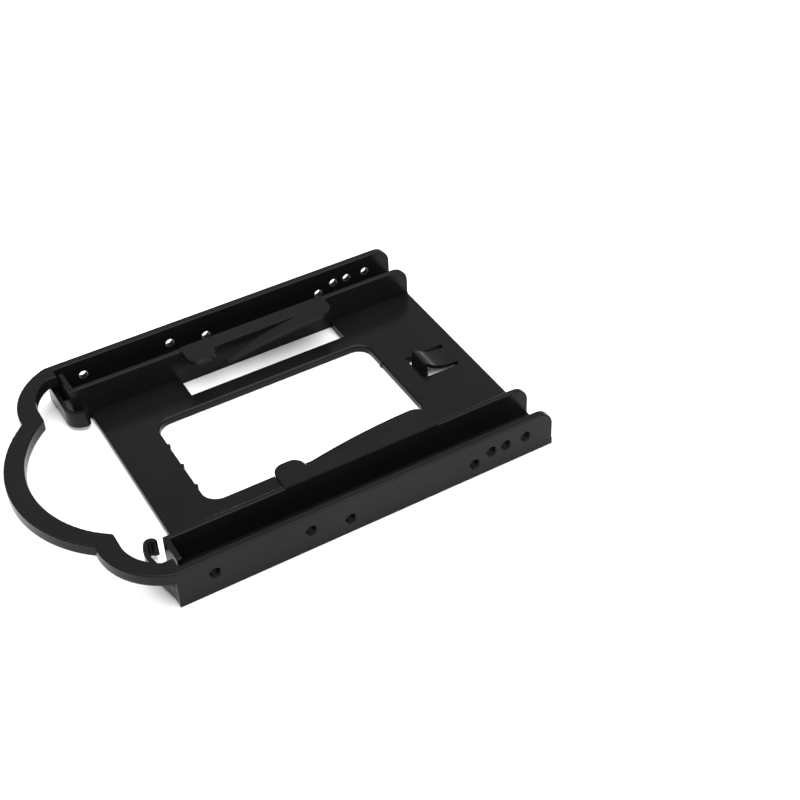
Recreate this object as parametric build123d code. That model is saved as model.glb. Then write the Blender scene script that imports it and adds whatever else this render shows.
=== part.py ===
from build123d import *
from math import cos, radians, sin
import os

# Drive bay adapter bracket, one moulded piece that carries a 2.5-inch drive in a 3.5-inch bay.
# +X points along the rails to the open end where the drive slides in, the bow handle is at -X.
# +Y points across the bracket and +Z is up.
# The origin is under the middle of the whole piece, on the plane it stands on. Sizes in millimetres.

# Bay, drive and overall sizes
bay_width = 101.6
drive_width = 69.85
side_clearance = 0.75
rail_end_margin = 11.2
bow_reach = 28.0
plate_front_reach = 0.2

# Plate and walls
plate_thickness = 2.3
plate_set_back = 7.8
outer_wall_height = 13.2
outer_wall_thickness = 2.5
inner_wall_drop = 0.4
inner_wall_thickness = 1.75
inner_wall_set_back = 2.75
wall_end_rounding = 5.0
end_wall_thickness = 1.6
end_wall_gap = 2.4
top_edge_rounding = 0.4
window_edge_rounding = 1.0

# Screw holes in the outer walls, measured from the open end
screw_hole_diameter = 3.0
countersink_diameter = 3.8
countersink_depth = 0.4
upper_row_height = 7.25
row_drop = 2.15
long_pair_spacing = 101.6
middle_pair_spacing = 60.0
short_pair_spacing = 41.6
long_pair_start = 9.7
middle_pair_start = 21.8
short_pair_start = 27.7
spare_hole_start = 16.7

# Openings in the plate, measured from the open end
window_start = 26.0
window_length = 73.9
window_width = 40.1
window_corner = 5.0
slot_end_margin = 1.95
slot_side_margin = 1.2
gate_stub_radius = 0.7
gate_stub_reach = 0.35
gate_stub_pitch = 10.2
gate_stub_offset = 1.5

# Hold-down ledges on the inner walls
ledge_start = 32.0
ledge_length = 50.7
ledge_thickness = 1.5
ledge_edge_break = 0.25
band_width = 3.6
lobe_width = 9.5
lobe_reach = 8.2
lobe_side_flat = 0.2
lobe_neck_rounding = 0.7
leaf_reach = 8.1
leaf_tip_gap = 2.7
leaf_root_length = 13.2
leaf_flat = 1.7
leaf_droop = 4.0
leaf_thickness = 1.4
leaf_tip_width = 0.9
leaf_corner = 4.5
slit_width = 0.3

# Snap latch in the plate, measured from the open end
latch_hinge = 5.2
latch_opening_length = 13.5
latch_opening_width = 11.6
latch_offset = 0.25
latch_side_gap = 1.65
latch_front_gap = 0.8
latch_flat = 1.5
latch_rise = 3.7
latch_thickness = 1.1
latch_lip_thickness = 0.9
latch_lip_slant = 0.9
latch_lip_foot = 0.3
latch_lip_rounding = 0.4
latch_corner = 1.2

# Bow handle
bow_thickness = 3.75
bow_middle_width = 6.1
bow_side_width = 5.3
bow_rise = 13.5
lobe_span = 21.4
lobe_outer_radius = 21.6
lobe_inner_length = 10.3
lobe_inner_width = 11.0
lobe_inner_radius = 14.3
bow_root_width = 6.0
bow_root_flat = 3.2
bow_root_overlap = 2.1
bow_inner_corner = 1.2

# Hook springs that press on the drive's front edge
hook_thickness = 1.4
hook_height = 5.65
hook_floor = 1.25
hook_root_width = 1.8
far_hook_lean = 0.0
far_hook_overlap = 4.4
far_hook_radius = 4.4
far_hook_sweep = 87.0
far_hook_tip = 1.0
near_hook_lean = 11.0
near_hook_overlap = 7.1
near_hook_radius = 9.5
near_hook_sweep = 42.0
near_hook_tip = 1.35

# Places that follow from the sizes above
rail_length = long_pair_start + long_pair_spacing + rail_end_margin
overall_length = rail_length + bow_reach + plate_front_reach
open_end = overall_length / 2 - plate_front_reach
half_bay = bay_width / 2
pocket_half = drive_width / 2 + side_clearance
inner_wall_back = pocket_half + inner_wall_thickness
outer_wall_inside = half_bay - outer_wall_thickness
inner_wall_height = outer_wall_height - inner_wall_drop
rail_back = open_end - rail_length
inner_wall_end = rail_back + inner_wall_set_back
pocket_face = -pocket_half


def block(x_from, x_to, y_from, y_to, z_from, z_to):
    """Box between two corners."""
    middle = Pos((x_from + x_to) / 2, (y_from + y_to) / 2, (z_from + z_to) / 2)
    return middle * Box(x_to - x_from, y_to - y_from, z_to - z_from)


def both_sides(shape):
    """The shape and its mirror image across the long centre line."""
    return shape + mirror(shape, Plane.XZ)


def upright_wall(x_from, y_from, thickness, height):
    """Wall along X up to the open end, where its top corner is rounded."""
    wall = block(x_from, open_end, y_from, y_from + thickness, 0, height)
    cross_edges = wall.edges().filter_by(Axis.Y)
    corner = cross_edges.sort_by(lambda edge: edge.center().X + edge.center().Z)[-1]
    return fillet(corner, wall_end_rounding)


def along_y(profile, y_from, y_to):
    """Outline in X and Z drawn out from one Y to another."""
    return extrude(Plane.XZ.offset(-y_from) * profile, -(y_to - y_from))


# Plate: pocket floor and the floors of the two rail channels
plate_back = rail_back + plate_set_back
plate_front = open_end + plate_front_reach
pocket_floor = block(plate_back, plate_front, -inner_wall_back, inner_wall_back, 0, plate_thickness)
channel_floor = block(inner_wall_end, open_end, -half_bay, pocket_face, 0, plate_thickness)

# Side rails: outer wall, inner wall and the short wall that closes the channel's back end
outer_wall = upright_wall(rail_back, -half_bay, outer_wall_thickness, outer_wall_height)
inner_wall = upright_wall(inner_wall_end, -inner_wall_back, inner_wall_thickness, inner_wall_height)
end_wall_side = -outer_wall_inside + end_wall_gap
end_wall_front = inner_wall_end + end_wall_thickness
end_wall = block(inner_wall_end, end_wall_front, end_wall_side, pocket_face, 0, inner_wall_height)
inner_walls = inner_wall + end_wall
inner_tops = [edge for edge in inner_walls.edges() if edge.center().Z > inner_wall_height - 0.01]
rail = channel_floor + fillet(inner_tops, top_edge_rounding)

# Bow handle: a scalloped strip level with the outer walls' tops
bow_tip = -overall_length / 2
cusp_x = bow_tip + bow_rise
cusp_y = half_bay - lobe_span
bow_radius = (cusp_y**2 + bow_rise**2) / (2 * bow_rise)
bow_centre = bow_tip + bow_radius
bow_inside = bow_radius - bow_side_width
root_x = rail_back + bow_root_overlap
root_turn_x = root_x - bow_root_flat
root_y = half_bay - bow_root_width
lobe_side_x = root_x - lobe_inner_length
lobe_side_y = lobe_inner_width - root_y
inner_corner_y = -((bow_inside**2 - (lobe_side_x - bow_centre) ** 2) ** 0.5)
with BuildSketch() as bow_sketch:
    with BuildLine() as bow_line:
        Line((root_x, -half_bay), (rail_back, -half_bay))
        RadiusArc((rail_back, -half_bay), (cusp_x, -cusp_y), lobe_outer_radius)
        ThreePointArc((cusp_x, -cusp_y), (bow_tip, 0), (cusp_x, cusp_y))
        RadiusArc((cusp_x, cusp_y), (rail_back, half_bay), lobe_outer_radius)
        Line((rail_back, half_bay), (root_x, half_bay))
        Line((root_x, half_bay), (root_x, root_y))
        Line((root_x, root_y), (root_turn_x, root_y))
        RadiusArc((root_turn_x, root_y), (lobe_side_x, -lobe_side_y), -lobe_inner_radius)
        Line((lobe_side_x, -lobe_side_y), (lobe_side_x, -inner_corner_y))
        inner_top = (bow_tip + bow_middle_width, 0)
        ThreePointArc((lobe_side_x, -inner_corner_y), inner_top, (lobe_side_x, inner_corner_y))
        Line((lobe_side_x, inner_corner_y), (lobe_side_x, lobe_side_y))
        RadiusArc((lobe_side_x, lobe_side_y), (root_turn_x, -root_y), -lobe_inner_radius)
        Line((root_turn_x, -root_y), (root_x, -root_y))
        Line((root_x, -root_y), (root_x, -half_bay))
    make_face()
    inner_corners = [v for v in bow_sketch.vertices() if abs(abs(v.Y) - abs(inner_corner_y)) < 0.01]
    fillet(inner_corners, bow_inner_corner)
bow_floor = outer_wall_height - bow_thickness
bow = Pos(0, 0, bow_floor) * extrude(bow_sketch.sketch, bow_thickness)
frame = both_sides(outer_wall) + bow
top_edges = [edge for edge in frame.edges() if edge.center().Z > outer_wall_height - 0.01]
frame = fillet(top_edges, top_edge_rounding)

# Hold-down ledge along each inner wall: a fixed band that swells to a rounded lobe at its back end
ledge_back = open_end - ledge_start - ledge_length
ledge_front = open_end - ledge_start
lobe_front = ledge_back + lobe_width
lobe_corner = lobe_reach - band_width - lobe_neck_rounding - lobe_side_flat
with BuildSketch() as ledge_sketch:
    with BuildLine():
        Polyline(
            (ledge_back, pocket_face - inner_wall_thickness),
            (ledge_back, pocket_face + lobe_reach),
            (lobe_front, pocket_face + lobe_reach),
            (lobe_front, pocket_face + band_width),
            (ledge_front, pocket_face + band_width),
            (ledge_front, pocket_face - inner_wall_thickness),
            close=True,
        )
    make_face()
    lobe_tips = [v for v in ledge_sketch.vertices() if v.Y > pocket_face + band_width + 0.01]
    fillet(lobe_tips, lobe_corner)
    neck_y = pocket_face + band_width
    neck = ledge_sketch.vertices().sort_by(lambda v: abs(v.X - lobe_front) + abs(v.Y - neck_y))[0]
    fillet(neck, lobe_neck_rounding)
ledge = Pos(0, 0, outer_wall_height - ledge_thickness) * extrude(ledge_sketch.sketch, ledge_thickness)
ledge_tops = [
    edge
    for edge in ledge.edges()
    if edge.center().Z > outer_wall_height - 0.01 and edge.center().X < ledge_front - 0.01
]
ledge = chamfer(ledge_tops, ledge_edge_break)

# Leaf spring beside the band: level where it joins the ledge, then curving down to a narrow free tip
leaf_back = lobe_front + leaf_tip_gap
leaf_bend = ledge_front - leaf_flat
leaf_root = ledge_front - leaf_root_length
leaf_run = leaf_bend - leaf_back
leaf_radius = (leaf_run**2 + leaf_droop**2) / (2 * leaf_droop)
leaf_tip_top = outer_wall_height - leaf_droop
leaf_tip_lean = leaf_thickness * leaf_run / leaf_radius
with BuildSketch() as leaf_profile:
    with BuildLine():
        Line((ledge_front, outer_wall_height), (leaf_bend, outer_wall_height))
        RadiusArc((leaf_bend, outer_wall_height), (leaf_back, leaf_tip_top), -leaf_radius)
        leaf_lower_back = (leaf_back + leaf_tip_lean, leaf_tip_top - leaf_thickness)
        Line((leaf_back, leaf_tip_top), leaf_lower_back)
        leaf_lower_bend = (leaf_bend, outer_wall_height - leaf_thickness)
        leaf_lower_front = (ledge_front, outer_wall_height - leaf_thickness)
        RadiusArc(leaf_lower_back, leaf_lower_bend, leaf_radius - leaf_thickness)
        Line(leaf_lower_bend, leaf_lower_front)
        Line(leaf_lower_front, (ledge_front, outer_wall_height))
    make_face()
with BuildSketch() as leaf_plan:
    with BuildLine():
        leaf_tip = (leaf_back, pocket_face + leaf_reach - leaf_tip_width)
        slit_end = (leaf_root, pocket_face + band_width + slit_width)
        Polyline(
            slit_end,
            (leaf_root, pocket_face),
            (ledge_front, pocket_face),
            (ledge_front, pocket_face + leaf_reach),
            (leaf_back, pocket_face + leaf_reach),
            leaf_tip,
        )
        TangentArc(slit_end, leaf_tip, tangent=(-1, 0))
    make_face()
    leaf_front_corner = leaf_plan.vertices().sort_by(lambda v: v.X + v.Y)[-1]
    fillet(leaf_front_corner, leaf_corner)
leaf = along_y(leaf_profile.sketch, pocket_face, pocket_face + leaf_reach)
leaf &= extrude(leaf_plan.sketch, outer_wall_height)

# Hook springs behind the plate: a leg from a root on the outer wall sweeps round to a tip beside the pocket
hook_leg_x = rail_back + hook_thickness / 2
hook_root_front = rail_back + hook_thickness
hook_root_side = hook_root_width - outer_wall_inside
hook_top = hook_floor + hook_height
hook_root = block(rail_back, hook_root_front, -half_bay, hook_root_side, 0, hook_top)
hook_root_y = -half_bay + outer_wall_thickness / 2


def hook(lean, overlap, radius, sweep, tip):
    """Hook on the -Y side: its leg leans to the bow, bends by a sweep in degrees and curls at the tip."""
    apex_y = pocket_face + overlap - hook_thickness / 2
    tip_rise = (radius - tip) * cos(radians(90 + lean - sweep))
    leg_rise = apex_y - tip - tip_rise - radius * sin(radians(lean)) - hook_root_y
    with BuildSketch() as strip:
        with BuildLine():
            leg = PolarLine((hook_leg_x, hook_root_y), leg_rise / cos(radians(lean)), 90 + lean)
            bend = JernArc(leg @ 1, leg % 1, radius, -sweep)
            JernArc(bend @ 1, bend % 1, tip, sweep - 180 - lean)
        trace(line_width=hook_thickness)
    return Pos(0, 0, hook_floor) * extrude(strip.sketch, hook_height)


near_hook = hook(near_hook_lean, near_hook_overlap, near_hook_radius, near_hook_sweep, near_hook_tip)
far_hook = hook(far_hook_lean, far_hook_overlap, far_hook_radius, far_hook_sweep, far_hook_tip)
far_hook = mirror(far_hook, Plane.XZ)

# Openings in the plate: the window with its gate stubs and a slot under each ledge
window_front = open_end - window_start
window_back = window_front - window_length
window_middle = (window_front + window_back) / 2
window = Pos(window_middle, 0) * RectangleRounded(window_length, window_width, window_corner)
stub_sheet = Sketch()
for step in (-1, 0, 1):
    stub_y = step * gate_stub_pitch - gate_stub_offset
    stub_sheet += Pos(window_back - gate_stub_radius + gate_stub_reach, stub_y) * Circle(gate_stub_radius)
front_stub_x = window_front + gate_stub_radius - gate_stub_reach
stub_sheet += Pos(front_stub_x, gate_stub_pitch - gate_stub_offset) * Circle(gate_stub_radius)
stubs = extrude(stub_sheet, plate_thickness)
pocket_floor -= extrude(window, plate_thickness)
window_edges = [
    edge
    for edge in pocket_floor.edges()
    if edge.center().Z > plate_thickness - 0.01 and abs(edge.center().Y) < window_width / 2 + 0.01
]
pocket_floor = fillet(window_edges, window_edge_rounding)
slot_front = ledge_front + slot_end_margin
slot_back = ledge_back - slot_end_margin
slot_side = pocket_face + lobe_reach + slot_side_margin
slot_cut = block(slot_back, slot_front, pocket_face, slot_side, 0, plate_thickness)

# Snap latch: a tongue of the plate that curves up from its front end to a lip behind the drive's rear edge
hinge_x = open_end - latch_hinge
opening_back = hinge_x - latch_opening_length
opening_half = latch_opening_width / 2
tongue_half = opening_half - latch_side_gap
tongue_top = plate_thickness + latch_rise
tongue_floor = plate_thickness - latch_thickness
lip_x = opening_back + latch_front_gap
lip_top_x = lip_x + latch_lip_slant
lip_back_x = lip_top_x + latch_lip_thickness
latch_bend = hinge_x - latch_flat
latch_run = latch_bend - lip_back_x
latch_radius = (latch_run**2 + latch_rise**2) / (2 * latch_rise)
under_radius = latch_radius + latch_thickness
under_rise = under_radius - (under_radius**2 - latch_run**2) ** 0.5
latch_cut = block(opening_back, hinge_x, -opening_half, opening_half, 0, plate_thickness)
latch_cut = Pos(0, -latch_offset) * latch_cut
with BuildSketch() as latch_profile:
    with BuildLine():
        Line((hinge_x, tongue_floor), (hinge_x, plate_thickness))
        Line((hinge_x, plate_thickness), (latch_bend, plate_thickness))
        RadiusArc((latch_bend, plate_thickness), (lip_back_x, tongue_top), latch_radius)
        Polyline(
            (lip_back_x, tongue_top),
            (lip_top_x, tongue_top),
            (lip_x, latch_lip_foot),
            (lip_back_x, latch_lip_foot),
            (lip_back_x, tongue_floor + under_rise),
        )
        RadiusArc((lip_back_x, tongue_floor + under_rise), (latch_bend, tongue_floor), -under_radius)
        Line((latch_bend, tongue_floor), (hinge_x, tongue_floor))
    make_face()
    lip_tops = [v for v in latch_profile.vertices() if v.Z + v.Y > tongue_top - 0.01]
    fillet(lip_tops, latch_lip_rounding)
with BuildSketch() as latch_plan:
    with Locations(((lip_x + hinge_x) / 2, 0)):
        Rectangle(hinge_x - lip_x, 2 * tongue_half)
    fillet(latch_plan.vertices().group_by(Axis.X)[0], latch_corner)
tongue = along_y(latch_profile.sketch, -tongue_half, tongue_half) & extrude(latch_plan.sketch, tongue_top)
tongue = Pos(0, -latch_offset) * tongue

# Screw holes through both outer walls, countersunk on the outside
lower_row_height = upper_row_height - row_drop
hole_places = [
    (long_pair_start, upper_row_height),
    (long_pair_start + long_pair_spacing, upper_row_height),
    (middle_pair_start, upper_row_height),
    (middle_pair_start + middle_pair_spacing, upper_row_height),
    (short_pair_start, lower_row_height),
    (short_pair_start + short_pair_spacing, lower_row_height),
    (spare_hole_start, upper_row_height),
]
bore = Cylinder(screw_hole_diameter / 2, 2 * outer_wall_thickness, rotation=(90, 0, 0))
cone_y = countersink_depth / 2 - outer_wall_thickness / 2
cone = Cone(screw_hole_diameter / 2, countersink_diameter / 2, countersink_depth, rotation=(90, 0, 0))
drill = bore + Pos(0, cone_y, 0) * cone

# The whole piece
bracket = frame + pocket_floor + both_sides(rail)
bracket -= both_sides(slot_cut)
bracket -= latch_cut
bracket += stubs
bracket += tongue
bracket += both_sides(ledge + leaf)
bracket += both_sides(hook_root)
bracket += near_hook
bracket += far_hook
for from_end, height in hole_places:
    bracket -= both_sides(Pos(open_end - from_end, outer_wall_thickness / 2 - half_bay, height) * drill)

os.makedirs("parts", exist_ok=True)
export_step(bracket.solids()[0], "parts/bracket.step")
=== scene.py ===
import math

import bpy
import numpy as np
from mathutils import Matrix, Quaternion, Vector

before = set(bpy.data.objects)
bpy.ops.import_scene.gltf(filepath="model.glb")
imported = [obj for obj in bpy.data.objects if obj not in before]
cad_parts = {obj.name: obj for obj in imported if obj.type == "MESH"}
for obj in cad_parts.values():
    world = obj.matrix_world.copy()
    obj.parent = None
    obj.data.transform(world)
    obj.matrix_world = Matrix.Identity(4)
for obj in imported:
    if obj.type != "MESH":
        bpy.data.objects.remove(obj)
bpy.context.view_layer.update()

# Noises of the moulded skin, with Scale in cells per metre
melt_drift = {"Scale": 38.0, "Detail": 3.0, "Roughness": 0.55}  # some 25 mm across
polish_clouds = {"Scale": 210.0, "Detail": 4.0, "Roughness": 0.6}  # some 5 mm across
skin_clouds = {"Scale": 950.0, "Detail": 3.0, "Roughness": 0.6}  # about 1 mm across
tool_grain = {"Scale": 4200.0, "Detail": 2.0, "Roughness": 0.5}  # about a quarter of a millimetre
rub_stretch = (30.0, 2600.0, 2600.0)  # hairlines that run along the rails
rub_lines = {"Scale": 1.0, "Detail": 3.0, "Roughness": 0.65}
rub_stops = [(0.62, 0.0), (0.74, 1.0)]
patch_stops = [(0.45, 0.0), (0.7, 1.0)]

# Colours of the plastic, from the darker to the paler melt, and of a rubbed line
melt_stops = [(0.3, (0.0050, 0.0050, 0.0051)), (0.7, (0.0068, 0.0067, 0.0068))]
rubbed_black = (0.016, 0.016, 0.016, 1.0)
rub_cover = 0.6

# Roughness where the tool was polished best, and what clouds and rubs add to it
polished_roughness = 0.11
polish_spread = 0.09
cloud_spread = 0.07
rub_spread = 0.07

# Relief of the skin, as shares of the bump distance in metres
grain_height = 0.7
cloud_height = 0.4
rub_depth = 0.25
bump_strength = 0.08
bump_distance = 0.0001
plastic_shine = 0.10


class Wire:
    """One socket in a node tree. Arithmetic on it adds Math nodes; node() adds any other node."""

    def __init__(self, tree, socket=None):
        self.tree = tree
        self.socket = socket

    def node(self, kind, settings=None, inputs=None, output=None):
        """Adds a node, sets its own settings first, then the values or links of its sockets."""
        made = self.tree.nodes.new(kind)
        for name, value in (settings or {}).items():
            if name == "stops":
                ramp = made.color_ramp.elements
                while len(ramp) < len(value):
                    ramp.new(0.5)
                for stop, (place, shade) in zip(ramp, value):
                    grey = isinstance(shade, (int, float))
                    stop.position = place
                    stop.color = (shade, shade, shade, 1) if grey else (*shade, 1)
            else:
                setattr(made, name, value)
        shown = [socket for socket in made.inputs if socket.enabled]
        for name, value in (inputs or {}).items():
            by_number = isinstance(name, int)
            socket = shown[name] if by_number else next(s for s in shown if s.name == name)
            if isinstance(value, Wire):
                self.tree.links.new(value.socket, socket)
            else:
                socket.default_value = value
        outs = [socket for socket in made.outputs if socket.enabled]
        named = [socket for socket in outs if socket.name == output]
        return Wire(self.tree, named[0] if named else outs[0] if outs else None)

    def math(self, operation, first, second):
        return self.node("ShaderNodeMath", {"operation": operation}, {0: first, 1: second})

    def __add__(self, other):
        return self.math("ADD", self, other)

    def __radd__(self, other):
        return self.math("ADD", other, self)

    def __sub__(self, other):
        return self.math("SUBTRACT", self, other)

    def __rsub__(self, other):
        return self.math("SUBTRACT", other, self)

    def __mul__(self, other):
        return self.math("MULTIPLY", self, other)

    def __rmul__(self, other):
        return self.math("MULTIPLY", other, self)


def moulded_black():
    """Near-black plastic: drifting shade and gloss, fine tool grain, faint rubs along the rails."""
    material = bpy.data.materials.new("moulded_black_plastic")
    material.use_nodes = True
    tree = material.node_tree
    tree.nodes.clear()
    start = Wire(tree)
    place = start.node("ShaderNodeTexCoord", output="Object")

    drift = start.node("ShaderNodeTexNoise", {}, {"Vector": place, **melt_drift})
    polish = start.node("ShaderNodeTexNoise", {}, {"Vector": place, **polish_clouds})
    cloud = start.node("ShaderNodeTexNoise", {}, {"Vector": place, **skin_clouds})
    grain = start.node("ShaderNodeTexNoise", {}, {"Vector": place, **tool_grain})

    # Rubs show only in patches, where the polish is cloudy
    along = start.node("ShaderNodeMapping", {}, {"Vector": place, "Scale": rub_stretch})
    rubs = start.node("ShaderNodeTexNoise", {}, {"Vector": along, **rub_lines})
    line_mask = start.node("ShaderNodeValToRGB", {"stops": rub_stops}, {"Fac": rubs})
    patch_mask = start.node("ShaderNodeValToRGB", {"stops": patch_stops}, {"Fac": polish})
    rub_mask = line_mask * patch_mask

    shade = start.node("ShaderNodeValToRGB", {"stops": melt_stops}, {"Fac": drift})
    rubbed = start.node(
        "ShaderNodeMix",
        {"data_type": "RGBA"},
        {"Factor": rub_mask * rub_cover, "A": shade, "B": rubbed_black},
        output="Result",
    )
    roughness = (
        polished_roughness + polish * polish_spread + cloud * cloud_spread + rub_mask * rub_spread
    )
    relief = grain * grain_height + cloud * cloud_height - rub_mask * rub_depth
    bump = start.node(
        "ShaderNodeBump",
        {},
        {"Strength": bump_strength, "Distance": bump_distance, "Height": relief},
    )
    body = start.node(
        "ShaderNodeBsdfPrincipled",
        {},
        {
            "Base Color": rubbed,
            "Roughness": roughness,
            "Specular IOR Level": plastic_shine,
            "Normal": bump,
        },
    )
    start.node("ShaderNodeOutputMaterial", {}, {"Surface": body})
    return material


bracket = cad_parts["bracket"]
bracket.data.materials.clear()
bracket.data.materials.append(moulded_black())

# Floor: a plain white studio table, one flat sheet of opal acrylic far wider than the picture.
# It is lit so brightly that the soft shadow round the bracket all but vanishes.
table_reach = 15.0
table_drop = 0.0002
table_lines = 9
opal_white = (0.94, 0.94, 0.94, 1)
opal_roughness = 0.9
opal_shine = 0.1


def table_sheet(u, v):
    """Point (x, y, z) of a flat square: (reach * u^3, reach * v^3, -drop), finer in the middle."""
    return np.stack([table_reach * u**3, table_reach * v**3, 0 * u - table_drop], axis=-1)


side = np.linspace(-1, 1, table_lines)
grid_u, grid_v = np.meshgrid(side, side, indexing="ij")
points = table_sheet(grid_u, grid_v).reshape(-1, 3)
index = np.arange(len(points)).reshape(grid_u.shape)
cells = [index[:-1, :-1], index[1:, :-1], index[1:, 1:], index[:-1, 1:]]
faces = np.stack(cells, axis=-1).reshape(-1, 4)
floor_mesh = bpy.data.meshes.new("studio_table")
floor_mesh.from_pydata(points.tolist(), [], faces.tolist())
floor = bpy.data.objects.new("studio_table", floor_mesh)
bpy.context.collection.objects.link(floor)
opal = bpy.data.materials.new("opal_acrylic")
opal.use_nodes = True
opal_sockets = opal.node_tree.nodes["Principled BSDF"].inputs
opal_sockets["Base Color"].default_value = opal_white
opal_sockets["Roughness"].default_value = opal_roughness
opal_sockets["Specular IOR Level"].default_value = opal_shine
floor_mesh.materials.append(opal)

# Light: a very large soft box overhead and a weak one low in front, which brightens the walls that
# face the camera. They hang in a plain pale grey room that darkens a little towards the horizon.
room_stops = [(0.2, 0.5), (0.62, 0.74)]  # sine of the height above the horizon, grey
room = bpy.data.worlds.new("grey_room")
room.use_nodes = True
room_start = Wire(room.node_tree)
sight = room_start.node("ShaderNodeTexCoord", output="Generated")
sight_height = room_start.node("ShaderNodeSeparateXYZ", {}, {"Vector": sight}, output="Z")
room_grey = room_start.node("ShaderNodeValToRGB", {"stops": room_stops}, {"Fac": sight_height})
room.node_tree.links.new(room_grey.socket, room.node_tree.nodes["Background"].inputs["Color"])
bpy.context.scene.world = room


def soft_box(name, place, width, depth, power):
    """Rectangular area light at place, turned towards the bracket's origin; metres and watts."""
    lamp = bpy.data.lights.new(name, "AREA")
    lamp.shape = "RECTANGLE"
    lamp.size = width
    lamp.size_y = depth
    lamp.energy = power
    holder = bpy.data.objects.new(name, lamp)
    holder.location = place
    holder.rotation_mode = "QUATERNION"
    holder.rotation_quaternion = (-Vector(place)).to_track_quat("-Z", "Y")
    bpy.context.collection.objects.link(holder)


soft_box("soft_box_above", (0.1, -0.2, 1.5), width=2.0, depth=2.0, power=46.0)
soft_box("soft_box_front", (0.2, -1.7, 0.55), width=1.8, depth=0.7, power=9.0)

# Camera: it stands off the bow's near corner, looks down across the bracket and is turned a touch
# about its own axis. Its lens is shifted, because the bracket lies off the picture's middle.
azimuth, elevation, roll = (math.radians(angle) for angle in (-30.7954, 40.1433, -1.1786))
target = Vector((0.066382, -0.004270, 0.0))
distance = 0.479674
picture_size = 800
focal_pixels = 1484.4932
axis_pixel_x, axis_pixel_y = 447.35, 369.80
film_width = 36.0
nearest_sight = 0.01
away = Vector((
    math.sin(azimuth) * math.cos(elevation),
    -math.cos(azimuth) * math.cos(elevation),
    math.sin(elevation),
))
lens = bpy.data.cameras.new("camera")
lens.sensor_width = film_width
lens.lens = focal_pixels / picture_size * film_width
lens.shift_x = (picture_size / 2 - axis_pixel_x) / picture_size
lens.shift_y = (axis_pixel_y - picture_size / 2) / picture_size
lens.clip_start = nearest_sight
camera = bpy.data.objects.new("camera", lens)
camera.location = target + away * distance
camera.rotation_mode = "QUATERNION"
camera.rotation_quaternion = (-away).to_track_quat("-Z", "Y") @ Quaternion((0, 0, 1), roll)
bpy.context.collection.objects.link(camera)
bpy.context.scene.camera = camera
bpy.context.scene.view_settings.view_transform = "Standard"
